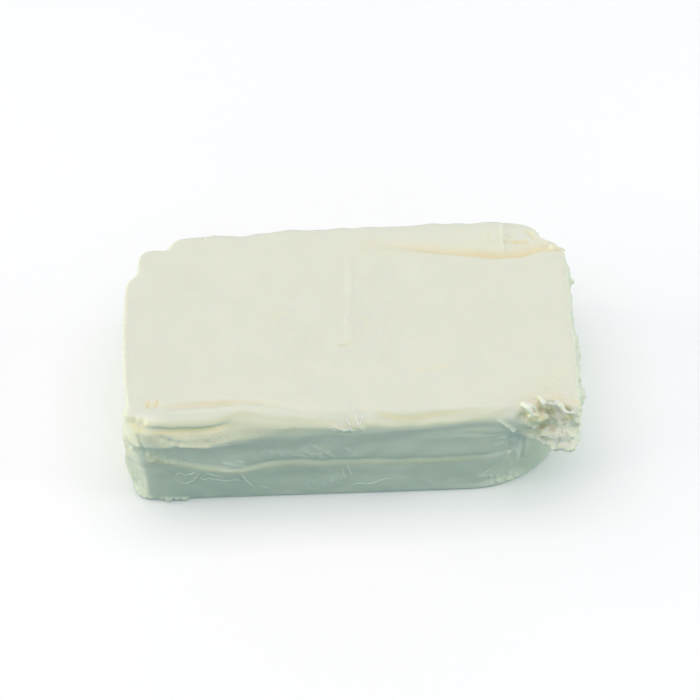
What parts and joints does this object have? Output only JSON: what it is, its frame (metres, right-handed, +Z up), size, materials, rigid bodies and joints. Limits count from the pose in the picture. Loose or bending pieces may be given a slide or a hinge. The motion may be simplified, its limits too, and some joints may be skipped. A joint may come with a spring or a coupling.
{
  "type": "cream cheese block",
  "caption": "Rectangular block of cream cheese out of its foil, with a lipped front, a ledge along it, a grooved top and a torn, crumbly corner.",
  "frame": {"origin": "on the flat underside, at the middle of the block's plan before its crumbs and marks", "axes": "+X along the block to the end with the torn corner, +Y from the lipped front to the back, +Z up"},
  "size_m": [0.1182, 0.0654, 0.0363],
  "materials": {
    "cream_cheese": "soft satin, slightly moist"
  },
  "bodies": {
    "root": {"cream_cheese_block": "cream_cheese"}
  },
  "joints": []
}
